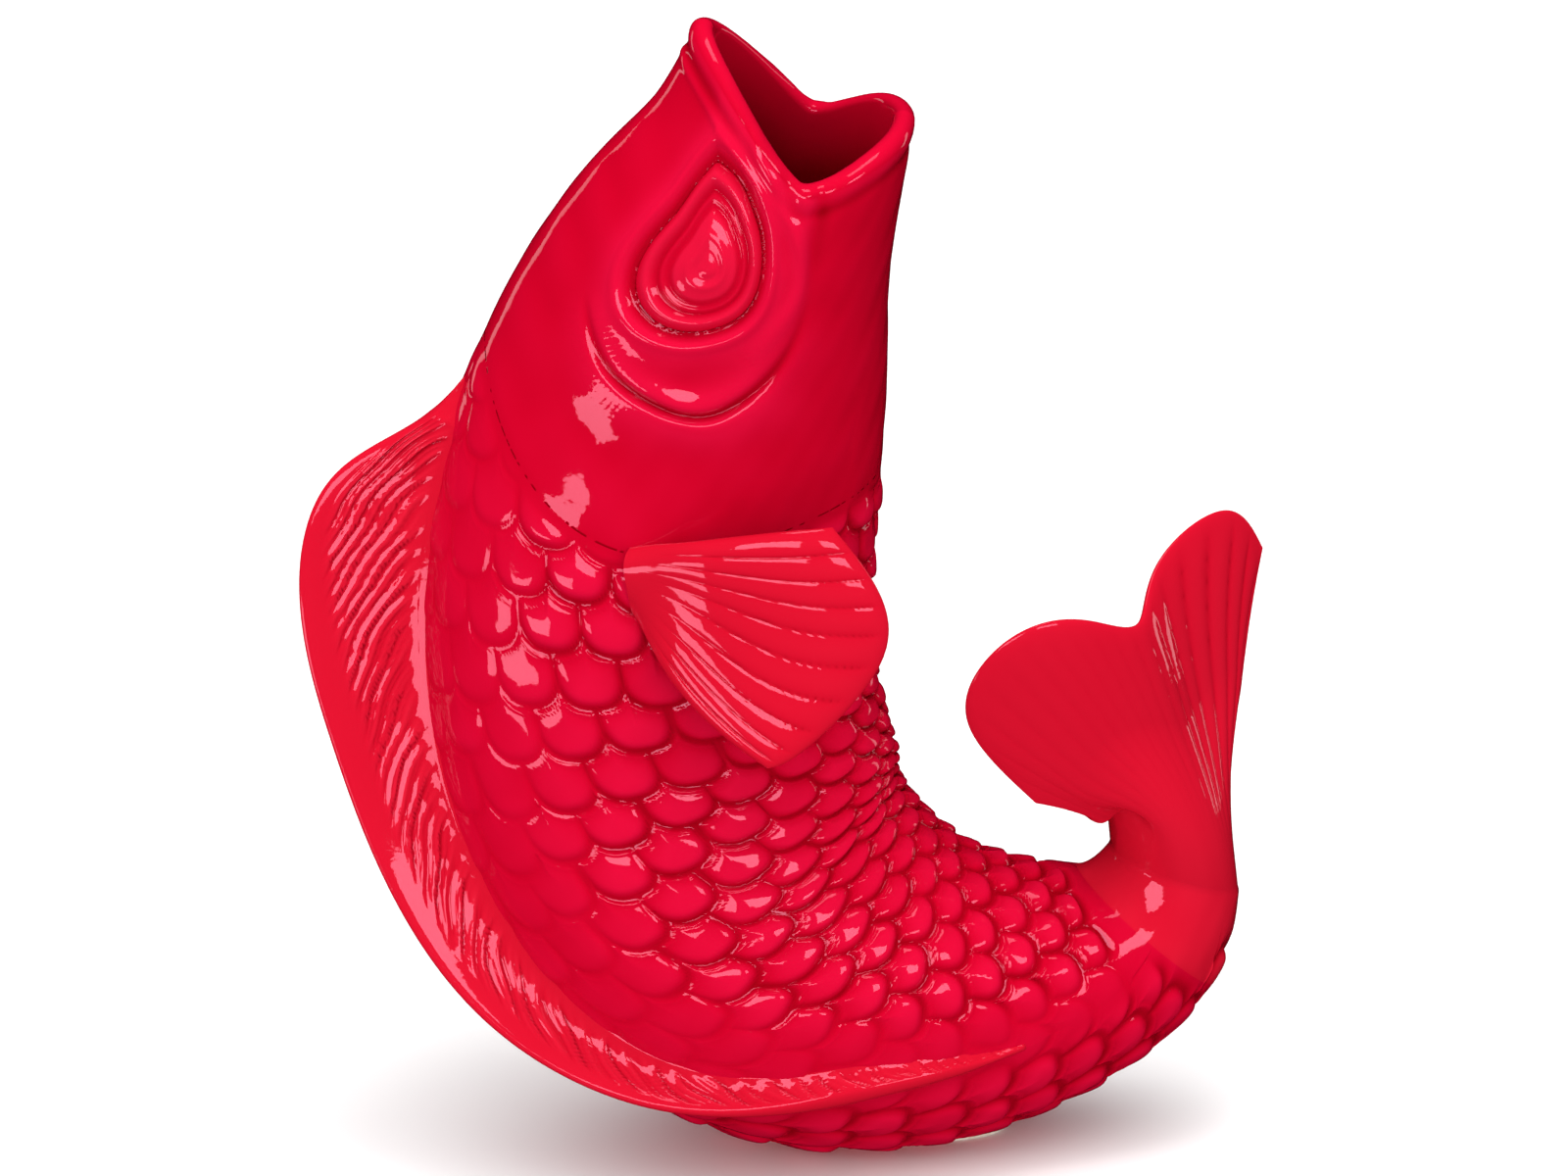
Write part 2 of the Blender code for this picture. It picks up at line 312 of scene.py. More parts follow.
def from_line(places, line):
    """How far each place is from the line, on which side of it, and how far along the line it is."""
    offset = places[:, None] - line[None]
    near = (offset ** 2).sum(-1).argmin(1)
    offset = offset[np.arange(len(places)), near]
    heading = unit(np.gradient(line, axis=0))[near]
    ahead = (offset * heading).sum(-1)
    aside = heading[:, 0] * offset[:, 1] - heading[:, 1] * offset[:, 0]
    past = np.maximum(np.abs(ahead) - 1, 0) * ((near == 0) | (near == len(line) - 1))
    return np.hypot(aside, past), aside, near / (len(line) - 1)


# The outer ring of the eye: its reach in millimetres at turns from the tail's way, drawn out
# to a point towards the mouth. The inner rings' middle lies a little nearer the belly.
DROP = np.array([
    [-158, 30], [-140, 20.4], [-109, 14.6], [-70, 16.2], [-49, 18.8], [-29, 20.6], [-8, 20.4], [9, 19],
    [32, 17.2], [55, 16.5], [85, 16.3], [120, 17], [145, 18.8], [168, 22], [188, 27], [202, 30],
])
DROP_MIDDLE = np.array([-1.6, 2.5])
BALL_MIDDLE = np.array([1.2, 2.5])


def round_the_drop(degrees):
    """The same turn, counted on from the drop's first radius."""
    first = -DROP[0, 0]
    return (degrees + first) % 360 - first


def drop(places):
    """Rings of the eye: 1 on the outer ring and less inside."""
    ring = np.full(len(places), 0.6)
    for _ in range(7):
        offset = places - BALL_MIDDLE - np.clip(ring, 0, 1.2)[:, None] * (DROP_MIDDLE - BALL_MIDDLE)
        facing = round_the_drop(np.degrees(np.arctan2(offset[:, 0], offset[:, 1])))
        reach = curve(DROP[:, 0], DROP[:, 1], facing)[:, 0]
        ring = np.hypot(offset[:, 0], offset[:, 1]) / reach
    return ring


# Where the eye's own piece ends and the ball's edge lies, as shares of the outer ring, and how
# deep the piece's rim and its underside are sunk in the head.
EYE_RIM = 0.86
BALL_EDGE = 0.5
EYE_RIM_LEVEL = -0.75
EYE_BOTTOM = -2.2


def eye_height(places):
    """The eye's raised outer ring, two inner rings, and the ball with a ringed pupil."""
    ring = drop(places)
    outside = np.where(ring > 1.07, np.exp(-((ring - 1.07) / 0.34) ** 2), ease(0.9, 1.07, ring))
    height = 0.8 * hump(ring, 1.07, 0.1) + 1.1 * outside
    height -= 0.5 * hump(ring, 0.89, 0.05)
    height += 1.5 * hump(ring, 0.73, 0.08)
    height -= 0.35 * hump(ring, 0.61, 0.03)
    height += 0.4 * hump(ring, 0.55, 0.035)
    height += 2.0 * np.sqrt(np.clip(1 - (ring / BALL_EDGE) ** 2, 0, 1)) * ease(0.48, 0.4, ring)
    height += 0.3 * hump(ring, 0.25, 0.05) - 0.35 * hump(ring, 0.13, 0.05)
    return height


def head_height(s, angle):
    """Relief of the head: the rim's bead, the eye's surround, the crescent behind it and the lip folds."""
    places = cheek(s, angle)
    rim = s - lip(angle)
    height = 0.6 * hump(rim, 3.2, 2.2) - 0.35 * hump(rim, 6.8, 1.4)
    height += 0.4 * hump(rim, 9.6, 1.3) * ease(98, 76, np.degrees(np.abs(turned(angle))))
    ring = drop(places)
    height += np.where(ring < EYE_RIM, -0.7 - 1.2 * ease(EYE_RIM, EYE_RIM - 0.12, ring), eye_height(places))
    away, aside, share = from_line(places, line_on_cheek(CRESCENT))
    strength = np.maximum(np.sin(share * math.pi), 0) ** 1.5 * ease(14, 4, away - np.abs(aside))
    swelling = np.where(aside > 0, 1.7 * np.exp(-(aside / 8) ** 2) * (1 - np.exp(-(aside / 1.5) ** 2)), 0)
    ridge = np.where(aside < 0, 1.7 * hump(-aside, 2.4, 4.2) * (1 - np.exp(-(aside / 1.2) ** 2)), 0)
    height += strength * (swelling + ridge - 0.7 * hump(aside, 0, 0.9))
    away, aside, share = from_line(places, line_on_cheek(LIP_FOLD))
    height += 1.3 * hump(away, 0, 2.2) * np.sin(np.clip(share, 0, 1) * math.pi * 0.93 + 0.2) ** 0.6
    away, aside, share = from_line(places, line_on_cheek(CORNER_FOLD))
    height += 1.0 * hump(away, 0, 2.8) * (1 - share) - 0.6 * hump(away, 4.5, 2.5) * (1 - share)
    edge = gill(angle) - s
    turn_down = np.degrees(np.abs(turned(angle)))
    shown = (0.25 + 0.75 * scale_strength(gill(angle) + 8, angle)) * (1 - 0.65 * ease(70, 100, turn_down))
    rising = 1 - np.exp(-(np.maximum(edge, 0) / 3.0) ** 1.6)
    height += shown * GILL_LIP * rising * np.exp(-edge / GILL_LIP_REACH)
    return height


def uneven(points):
    """The slight waviness of a hand-finished, thickly glazed surface."""
    x, y, z = points.T
    wave = np.sin(0.31 * x + 0.22 * z + 1.7 * np.sin(0.11 * y))
    wave = wave + np.sin(0.27 * y - 0.34 * z + 1.3 * np.sin(0.13 * x))
    return 0.05 * (wave + 0.6 * np.sin(0.62 * x - 0.48 * z + 0.5 * y))


def body(s, angle):
    """A point of the glazed outside, and how raised it is there."""
    height = np.zeros_like(s)
    past = s - gill(angle)
    scaly = ease(0, GILL_BLEND, past)
    scaled = scaly > 0
    strength = scale_strength(s[scaled], angle[scaled])
    risen = scales(s[scaled], angle[scaled]) * strength + BARE_LEVEL * (1 - strength)
    shallow = 0.85 * ease(GILL_SHALLOW, 0, past[scaled])
    risen = risen * (1 - shallow) + GILL_LEVEL * shallow
    height[scaled] = scaly[scaled] * (SCALE_HEIGHT * risen - SCALE_SUNK)
    smooth = scaly < 1
    height[smooth] += (1 - scaly[smooth]) * head_height(s[smooth], angle[smooth])
    base = skin(s, angle)
    height = height + uneven(base)
    points = base + skin_facing(s, angle) * height[:, None]
    return settle(points, FLOOR), height


# ---- meshes ----

def piece(name, columns, rows, place, replaced, outside=None):
    """A grid moved onto place(column, row) and welded where its edges and poles meet.

    place gives the points and how raised each is. outside is a test of which rows show and a
    surface(column, row) that runs on past the piece's own edge: the shading of those rows
    follows it, so that neighbours join unseen.
    """
    shape = bmesh.new()
    bmesh.ops.create_grid(shape, x_segments=columns, y_segments=rows, size=0.5)
    grid = np.array([vert.co for vert in shape.verts])
    column = np.rint((grid[:, 0] + 0.5) * columns)
    row = np.rint((grid[:, 1] + 0.5) * rows)
    points, raised = place(column, row)
    facing = np.zeros_like(points)
    if outside:
        shows, surface = outside
        shown = shows(row)
        c, r = column[shown], row[shown]
        across = surface(c + 0.5, r) - surface(c - 0.5, r)
        along = surface(c, r + 0.5) - surface(c, r - 0.5)
        facing[shown] = unit(np.cross(across, along))
    relief = shape.verts.layers.float.new("relief")
    normal = shape.verts.layers.float_vector.new("facing")
    for vert, point, high, way in zip(shape.verts, points * MM, raised, facing):
        vert.co = point
        vert[relief] = high
        vert[normal] = way
    bmesh.ops.remove_doubles(shape, verts=shape.verts, dist=0.00001)
    bmesh.ops.dissolve_degenerate(shape, edges=shape.edges, dist=0.000005)
    bmesh.ops.recalc_face_normals(shape, faces=shape.faces)
    mesh = bpy.data.meshes.new(name)
    shape.to_mesh(mesh)
    shape.free()
    mesh.shade_smooth()
    if outside:
        ways = np.empty(len(mesh.vertices) * 3, np.float32)
        mesh.attributes["facing"].data.foreach_get("vector", ways)
        ways = ways.reshape(-1, 3)
        own = np.empty(len(mesh.vertices) * 3, np.float32)
        mesh.vertices.foreach_get("normal", own)
        own = own.reshape(-1, 3)
        ways *= np.where((ways * own).sum(1) < 0, -1, 1)[:, None]
        mesh.normals_split_custom_set_from_vertices(ways.tolist())
    mesh.attributes.remove(mesh.attributes["facing"])
    made = bpy.data.objects.new(name, mesh)
    bpy.context.collection.objects.link(made)
    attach(made, "root")
    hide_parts(*replaced)
    return made


def turn(column):
    """The angle of a column of a piece that goes round the body."""
    return 2 * math.pi * column / AROUND


def head():
    """From the gill edge up the outside, over the rounded lip and down the inside."""
    up, over, down = 150, 14, 36
    rows = up + over + down + 1
    bead = WALL / 2

    def outer(column, row):
        angle = turn(column)
        start = gill(angle)
        end = lip(angle) + bead
        return body(start + (end - start) * row / up, angle)

    def place(column, row):
        angle = turn(column)
        start = gill(angle)
        end = lip(angle) + bead
        points, raised = outer(column, np.minimum(row, up))
        bend = np.clip((row - up) / over, 0, 1) * math.pi
        inner = np.clip((row - up - over) / down, 0, 1)
        inner = np.where(row == rows, 1, inner)
        rest = row > up
        s = end - bead * np.sin(bend) + (start - end) * inner
        inset = bead - bead * np.cos(bend)
        lifted = skin(s[rest], angle[rest], inset[rest])
        puff = skin_facing(s[rest], angle[rest]) * (raised[rest] * (1 + np.cos(bend[rest])) / 2)[:, None]
        points[rest] = lifted + puff
        # Over the rounded lip the glaze runs thin and light; down the inside of the mouth the dark, pooled
        # colour is painted as shade.
        raised = np.where(rest, 0.1 + 0.5 * np.sin(bend) - 1.4 * ease(0, 0.3, inner), raised)
        closing = row == rows
        shut, _ = outer(column[closing], np.zeros(closing.sum()))
        points[closing] = shut
        return points, raised

    def shown(row):
        return row <= up - 10

    def surface(column, row):
        return outer(column, row)[0]

    return piece("head", AROUND, rows, place, ["head_shell"], (shown, surface))


def trunk(name, start_of, end, rows_out, inside_end, closed):
    """A length of the hollow body. The inside ends in a dome where closed is true."""
    rows_in = 16
    dome = 8 if closed else 0
    before = rows_in + dome

    def outer(column, row):
        angle = turn(column)
        start = start_of(angle)
        return body(start + (end - start) * row / rows_out, angle)

    def place(column, row):
        angle = turn(column)
        start = start_of(angle)
        share = np.clip((row - dome) / rows_in, 0, 1)
        s = inside_end + (start - inside_end) * share
        points = skin(s, angle, WALL)
        if closed:
            bend = np.clip(1 - row / dome, 0, 1) * math.pi / 2
            s = np.where(row < dome, inside_end + (DOME_END - inside_end) * np.sin(bend), s)
            middle = section(s)[0]
            points = middle + (skin(s, angle, WALL) - middle) * np.where(row < dome, np.cos(bend), 1)[:, None]
        points = settle(points, FLOOR + WALL)
        # The inside walls and dome are given the dark, pooled glaze colour: painted shade inside the hollow.
        raised = np.full(len(row), -1.3)
        out = row >= before + 1
        shown, high = outer(column[out], np.minimum(row[out] - before - 1, rows_out))
        points[out] = shown
        raised[out] = high
        last = row > before + 1 + rows_out
        ends = np.full(last.sum(), end)
        if closed:
            points[last] = section(ends)[0]
        else:
            points[last] = settle(skin(ends, angle[last], WALL), FLOOR + WALL)
        return points, raised

    def shown(row):
        return (row >= before + 1) & (row <= before + 1 + rows_out)

    def surface(column, row):
        return outer(column, row - before - 1)[0]

    rows = before + 1 + rows_out + 1
    return piece(name, AROUND, rows, place, ["trunk_shell"], (shown, surface))


def stalk():
    """The smooth narrow end of the body, closed at both ends under its neighbours."""
    rows_out = 40

    def surface(column, row):
        share = (row - 1) / rows_out
        return body(TRUNK_END + (STALK_JOIN - TRUNK_END) * share, turn(column))[0]

    def place(column, row):
        share = np.clip((row - 1) / rows_out, 0, 1)
        s = TRUNK_END + (STALK_JOIN - TRUNK_END) * share
        points, raised = body(s, turn(column))
        pole = (row == 0) | (row == rows_out + 2)
        points[pole] = section(s[pole])[0]
        return points, raised

    def shown(row):
        return (row >= 1) & (row <= rows_out + 1)

    return piece("stalk", AROUND, rows_out + 2, place, ["tail_stalk"], (shown, surface))


# ---- fins ----

def fan(rays, u, v):
    """A fin's middle surface: u goes across its rays, v from their roots to their tips."""
    knots = np.linspace(0, 1, len(rays))
    root, middle, tip = (curve(knots, rays[:, k], u) for k in range(3))
    v = v[:, None]
    return root * (1 - v) ** 2 + middle * 2 * v * (1 - v) + tip * v ** 2


def fan_facing(rays, u, v, step=0.01):
    across = fan(rays, u + step, v) - fan(rays, u - step, v)
    along = fan(rays, u, v + step) - fan(rays, u, v - step)
    return unit(np.cross(across, along))


def ribs(u, count, flatness):
    """Shell-like panels side by side, with fine grooves between. Flatter ones have finer grooves."""
    return np.abs(np.sin(math.pi * count * u)) ** flatness


# Rays of the tail fin: middle and tip. Each starts on a line across the end of the stalk.
TAIL_FIN = np.array([
    [[64, -16, 91], [41, -22, 97]],
    [[59, -20, 100], [23.5, -28, 120]],
    [[62, -21, 113], [28, -30, 138]],
    [[67, -18, 118], [41, -28, 146.5]],
    [[73, -12, 118], [55, -22, 145.5]],
    [[77, -5, 115], [67, -12, 142]],
    [[82, 5, 115], [72.5, 4, 153]],
    [[90, 18, 117], [90, 21, 162]],
    [[93.5, 24, 112], [101, 29, 149.5]],
], float)
TAIL_ROOT = 16.0
TAIL_ROOT_HALF = 12.5
TAIL_EDGE_HALF = 2.3
TAIL_RIBS = 19


def tail():
    """The stalk's end running on into the folded fan of the tail, with ribs on both faces."""
    stalk_rows, fan_rows = 26, 165
    middle, back, flank, *_ = section(np.array([STALK_END]))
    along = np.cross(flank, back)
    across = unit(flank + back)
    spread = np.linspace(1, -1, len(TAIL_FIN))[:, None]
    root = middle + along * GAP * 2 + across * spread * TAIL_ROOT
    rays = np.concatenate([root[:, None], TAIL_FIN], axis=1)
    first_ray = math.pi / 4

    def surface(column, row):
        s = STALK_JOIN + (STALK_END - STALK_JOIN) * (row - 1) / stalk_rows
        return body(s, turn(column))[0]

    def place(column, row):
        angle = turn(column)
        s = STALK_JOIN + (STALK_END - STALK_JOIN) * np.clip((row - 1) / stalk_rows, 0, 1)
        points, raised = body(s, angle)
        pole = row == 0
        points[pole] = section(s[pole])[0]
        fanned = row > 1 + stalk_rows
        v = np.sin((row[fanned] - 1 - stalk_rows) / fan_rows * math.pi / 2)
        ring = angle[fanned] - first_ray
        u = (1 - np.cos(ring)) / 2
        face = -np.sign(np.round(np.sin(ring), 9))
        half = TAIL_EDGE_HALF + (TAIL_ROOT_HALF - TAIL_EDGE_HALF) * (1 - v) ** 1.7
        half = half * np.sqrt(1 - v ** 12) * np.sqrt(np.clip(1 - np.abs(2 * u - 1) ** (2 + 4 * v), 0, 1))
        strength = np.interp(u, [0, 0.12, 0.5, 0.64, 0.82, 1], [0.12, 0.22, 0.16, 0.4, 1.0, 0.8])
        strength = strength * ease(0.1, 0.4, v) * ease(1.0, 0.86, v)
        wave = ribs(u + 0.03 * np.sin(3.2 * v), TAIL_RIBS, 0.4) - 0.75
        half = np.maximum(half + 0.9 * strength * wave * np.minimum(half, 1), 0)
        facing = fan_facing(rays, u, v)
        centre = fan(rays, np.full_like(u, 0.5), v)
        fin = fan(rays, u, v) + facing * (half * face)[:, None]
        end = np.full_like(u, STALK_END)
        collar = skin(end, angle[fanned]) - section(end)[0]
        blend = ease(0, 0.55, v)[:, None]
        points[fanned] = centre + collar * (1 - blend) + (fin - centre) * blend
        raised[fanned] = raised[fanned] * (1 - blend[:, 0]) + (0.2 + 0.9 * strength * wave) * blend[:, 0]
        return points, raised

    def shown(row):
        return (row >= 1) & (row <= 1 + stalk_rows // 2)

    rows = 1 + stalk_rows + fan_rows
    return piece("tail_fan", AROUND, rows, place, ["tail_fin", "tail_stalk"], (shown, surface))


# The back fin: distance down the fish and height above the back.
BACK_FIN = np.array([
    [104, 0.8], [115, 8], [126, 23], [138, 30.5], [174, 25], [222, 18.5], [256, 9], [284, 5], [312, 1.5],
])
RAY_SPACING = 4.6


def back_fin():
    """A feathered blade along the back, flared at its root, with a smooth rounded margin."""
    side_columns, rows = 60, 320
    columns = 2 * side_columns + 4

    def place(column, row):
        share = np.clip((row - 1) / (rows - 2), 0, 1)
        s = BACK_FIN[0, 0] - 3 + (BACK_FIN[-1, 0] - BACK_FIN[0, 0] + 6) * share
        middle, back, flank, depth, width, _ = section(s)
        tall = np.maximum(curve(BACK_FIN[:, 0], BACK_FIN[:, 1], s)[:, 0], 0.3)
        closed = (row == 0) | (row == rows)
        face = np.where(column < columns / 2, 1.0, -1.0)
        step = columns / 2 - np.abs(column - columns / 2)
        rise = np.clip((step - 2) / side_columns, 0, 1)
        rise = np.sin(rise * math.pi / 2)
        above = rise * tall
        flare = np.clip(tall / 6, 0.3, 1)
        half = 1.7 * flare + 5.2 * flare * np.exp(-above / (3.2 * flare))
        half = half * np.sqrt(1 - rise ** 10) * (0.35 + 0.65 * np.clip(tall / 3, 0, 1))
        slant = 0.95 * above + 0.35 * above ** 2 / np.maximum(tall, 1)
        wander = 0.9 * np.sin(s * 0.21) + 0.5 * np.sin(s * 0.53 + 1)
        phase = (s - slant + wander) / RAY_SPACING
        ray = np.floor(phase)
        saw = phase - ray
        feather = (saw ** 0.6) * ease(1.0, 0.82, saw) * (0.6 + 0.7 * chance(ray))
        fine = 0.25 * np.sin(2 * math.pi * phase * 2.5 + 2 * chance(ray, 2))
        margin = np.interp(s, [110, 135, 170, 220, 280], [0.93, 0.9, 0.72, 0.72, 0.9])
        shown = ease(0.03, 0.22, rise) * ease(1, 0, (rise - margin + 0.16) / 0.16)
        shown = shown * np.clip(tall / 9, 0, 1) * ease(108, 122, s)
        wave = (feather + fine - 0.45) * shown
        out = (half + 1.15 * wave) * face
        inner = step < 1.5
        out = np.where(step < 0.5, 0, np.where(closed, 0, out))
        base = depth[:, 0] * np.sqrt(1 - (out / width[:, 0]) ** 2)
        up = np.where(inner, -3.0, np.where(step < 2.5, -1.2, above))
        up = np.where(closed, -1.2, up)
        points = middle + back * (base + up)[:, None] + flank * out[:, None]
        return points, 0.25 + 1.3 * wave

    return piece("back_fin_blade", columns, rows, place, ["back_fin"])


# Rays of the right breast fin: root, middle and tip.
BREAST_FIN = np.array([
    [[-61, -43, 170.5], [-30, -58, 179.5], [-11, -52, 179]],
    [[-61, -43, 167], [-25, -61, 171], [0.5, -56, 163]],
    [[-60, -43, 163], [-25, -62, 159], [0.5, -61, 145]],
    [[-59, -43, 158], [-36, -60, 142], [-17, -66, 126]],
    [[-59, -43, 152], [-51, -57, 134], [-27, -66, 121]],
], float)
# Its half thickness at the edge, how far its middle is dished and its root pressed in towards
# the body, and the distance down the fish at which the left one mirrors it.
BREAST_FIN_HALF = 2.2
BREAST_RIBS = 10
BREAST_FIN_DISH = 3.2
BREAST_ROOT_SUNK = 2.6
BREAST_FIN_REACH = 144.0


def breast_fin(name, rays, side, node):
    """A shell-like fan with curved ribs on both faces and a thin rounded edge. Its root isn't closed."""
    columns, half_rows = 200, 110

    def place(column, row):
        u = (1 - np.cos(math.pi * column / columns)) / 2
        back = row > half_rows
        v = np.sin(np.where(back, 2 * half_rows - row, row) / half_rows * math.pi / 2)
        v = np.clip(v, 0, 1)
        half = BREAST_FIN_HALF * (1 + 1.2 * (1 - v) ** 3)
        half = half * np.sqrt(1 - v ** 14) * np.sqrt(np.clip(1 - np.abs(2 * u - 1) ** (2 + 6 * v), 0, 1))
        strength = ease(0.05, 0.45, v) * ease(1.0, 0.9, v)
        bent = u - 0.1 * np.sin(math.pi * v) * np.sin(math.pi * u)
        wave = ribs(bent, BREAST_RIBS, 0.28) - 0.93
        half = np.maximum(half + 0.5 * strength * wave * np.minimum(half, 1), 0)
        face = np.where(back, -1.0, 1.0)
        dish = BREAST_FIN_DISH * np.sin(math.pi * u) * v ** 1.5 * (1 - 0.3 * v)
        facing = fan_facing(rays, u, v)
        points = fan(rays, u, v) + facing * (half * face)[:, None]
        points[:, 1] += side * (BREAST_ROOT_SUNK * ease(0.3, 0, v) + dish)
        return points, 0.2 + 0.9 * strength * wave

    return piece(name, columns, 2 * half_rows, place, [node])


def eye(name, side, node):
    """The second ring and the ball, sunk into the groove inside the outer ring."""
    columns, rows, under = 160, 56, 4

    def place(column, row):
        way = 2 * math.pi * column / columns
        level = EYE_RIM * np.clip(row / rows, 0, 1)
        down = np.clip((row - rows) / under, 0, 1)
        level = np.where(row > rows, EYE_RIM * (1 - down), level)
        toward = round_the_drop(np.degrees(way))
        reach = curve(DROP[:, 0], DROP[:, 1], toward)[:, 0] * level
        places = np.stack([np.sin(way), np.cos(way)], -1) * reach[:, None]
        places = places + BALL_MIDDLE + level[:, None] * (DROP_MIDDLE - BALL_MIDDLE)
        s = EYE[0] + places[:, 1]
        angle = np.radians(EYE[1] + places[:, 0] / CHEEK)
        height = np.where(row > rows, EYE_BOTTOM, eye_height(places) - 0.05)
        height = np.where(row == rows, EYE_RIM_LEVEL, height)
        points = skin(s, side * angle) + skin_facing(s, side * angle) * height[:, None]
        return points, height

    return piece(name, columns, rows + under, place, [node])


FOOT_EDGE = 0.0004
FOOT_SUNK = 0.002


def foot():
    """The unglazed oval under the belly, its edge softened where the glaze was wiped off."""
    low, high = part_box("foot")
    size = [high[i] - low[i] for i in range(3)]
    shape = bmesh.new()
    bmesh.ops.create_cone(shape, cap_ends=True, segments=96, radius1=0.5, radius2=0.5, depth=1)
    bmesh.ops.scale(shape, vec=(size[0], size[1], size[2]), verts=shape.verts)
    bmesh.ops.translate(shape, vec=(0, 0, size[2] / 2), verts=shape.verts)
    rims = [edge for edge in shape.edges if abs(edge.verts[0].co.z - edge.verts[1].co.z) < 1e-7]
    bmesh.ops.bevel(
        shape, geom=rims, offset=FOOT_EDGE, offset_type="OFFSET", affect="EDGES",
        segments=3, profile=0.5, material=-1,
    )
    top = [face for face in shape.faces if face.normal.z > 0.99]
    bmesh.ops.translate(shape, vec=(0, 0, FOOT_SUNK), verts=list({v for f in top for v in f.verts}))
    bmesh.ops.recalc_face_normals(shape, faces=shape.faces)
    mesh = bpy.data.meshes.new("foot_pad")
    shape.to_mesh(mesh)
    shape.free()
    made = bpy.data.objects.new("foot_pad", mesh)
    bpy.context.collection.objects.link(made)
    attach(made, "root")
    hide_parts("foot")
    return made


# ---- finishes ----

# Each glaze's colour where it pools (also painted as shade inside the hollow), over most of the piece, and
# where it runs thin.
GLAZES = {
    "body glaze": ((0.27, 0.0002, 0.004), (0.52, 0.0006, 0.017), (0.64, 0.003, 0.034)),
    "fin glaze": ((0.32, 0.0008, 0.006), (0.56, 0.0040, 0.020), (0.66, 0.010, 0.032)),
    "eye glaze": ((0.29, 0.0003, 0.005), (0.53, 0.0008, 0.018), (0.64, 0.005, 0.034)),
}
GLOSS_ROUGHNESS = 0.045
GLOSS_TINT = (1.0, 0.46, 0.66, 1)


def glaze(name):
    """Red gloss glaze: dark where it pools in grooves, lighter where it runs thin over raised edges, and dark
    as painted shade inside the mouth and the hollow.
    """
    pooled_and_shade, full, thin = GLAZES[name]
    material = bpy.data.materials.new(name)
    material.use_nodes = True
    nodes, links = material.node_tree.nodes, material.node_tree.links
    shader = nodes["Principled BSDF"]
    shader.inputs["Roughness"].default_value = GLOSS_ROUGHNESS
    shader.inputs["IOR"].default_value = 1.5
    shader.inputs["Specular Tint"].default_value = GLOSS_TINT
    relief = nodes.new("ShaderNodeAttribute")
    relief.attribute_name = "relief"
    spread = nodes.new("ShaderNodeMapRange")
    spread.inputs["From Min"].default_value = -0.8
    spread.inputs["From Max"].default_value = 1.4
    links.new(relief.outputs["Fac"], spread.inputs["Value"])
    place = nodes.new("ShaderNodeTexCoord")
    clouds = nodes.new("ShaderNodeTexNoise")
    clouds.inputs["Scale"].default_value = 22
    clouds.inputs["Detail"].default_value = 3
    links.new(place.outputs["Object"], clouds.inputs["Vector"])
    drift = nodes.new("ShaderNodeMath")
    drift.operation = "MULTIPLY_ADD"
    drift.inputs[1].default_value = 0.22
    links.new(clouds.outputs["Fac"], drift.inputs[0])
    links.new(spread.outputs["Result"], drift.inputs[2])
    shades = nodes.new("ShaderNodeValToRGB")
    shades.color_ramp.elements[0].position = 0.12
    shades.color_ramp.elements[0].color = (*pooled_and_shade, 1)
    shades.color_ramp.elements[1].position = 1.0
    shades.color_ramp.elements[1].color = (*thin, 1)
    middle = shades.color_ramp.elements.new(0.48)
    middle.color = (*full, 1)
    links.new(drift.outputs["Value"], shades.inputs["Fac"])
    links.new(shades.outputs["Color"], shader.inputs["Base Color"])
    ripple = nodes.new("ShaderNodeTexNoise")
    ripple.inputs["Scale"].default_value = 260
    ripple.inputs["Detail"].default_value = 2
    links.new(place.outputs["Object"], ripple.inputs["Vector"])
    bump = nodes.new("ShaderNodeBump")
    bump.inputs["Strength"].default_value = 0.12
    bump.inputs["Distance"].default_value = 0.0004
    links.new(ripple.outputs["Fac"], bump.inputs["Height"])
    links.new(bump.outputs["Normal"], shader.inputs["Normal"])
    material.diffuse_color = (*full, 1)
    return material


def clay():
    """Bare fired clay: matt cream with fine speckle and grain."""
    material = bpy.data.materials.new("bare clay")
    material.use_nodes = True
    nodes, links = material.node_tree.nodes, material.node_tree.links
    shader = nodes["Principled BSDF"]
    shader.inputs["Roughness"].default_value = 0.85
    place = nodes.new("ShaderNodeTexCoord")
    speckle = nodes.new("ShaderNodeTexNoise")
    speckle.inputs["Scale"].default_value = 900
    speckle.inputs["Detail"].default_value = 4
    links.new(place.outputs["Object"], speckle.inputs["Vector"])
    shades = nodes.new("ShaderNodeValToRGB")
    shades.color_ramp.elements[0].position = 0.3
    shades.color_ramp.elements[0].color = (0.6, 0.5, 0.4, 1)
    shades.color_ramp.elements[1].position = 0.6
    shades.color_ramp.elements[1].color = (0.76, 0.68, 0.57, 1)
    links.new(speckle.outputs["Fac"], shades.inputs["Fac"])
    links.new(shades.outputs["Color"], shader.inputs["Base Color"])
    bump = nodes.new("ShaderNodeBump")
    bump.inputs["Strength"].default_value = 0.3
    bump.inputs["Distance"].default_value = 0.0002
    links.new(speckle.outputs["Fac"], bump.inputs["Height"])
    links.new(bump.outputs["Normal"], shader.inputs["Normal"])
    return material


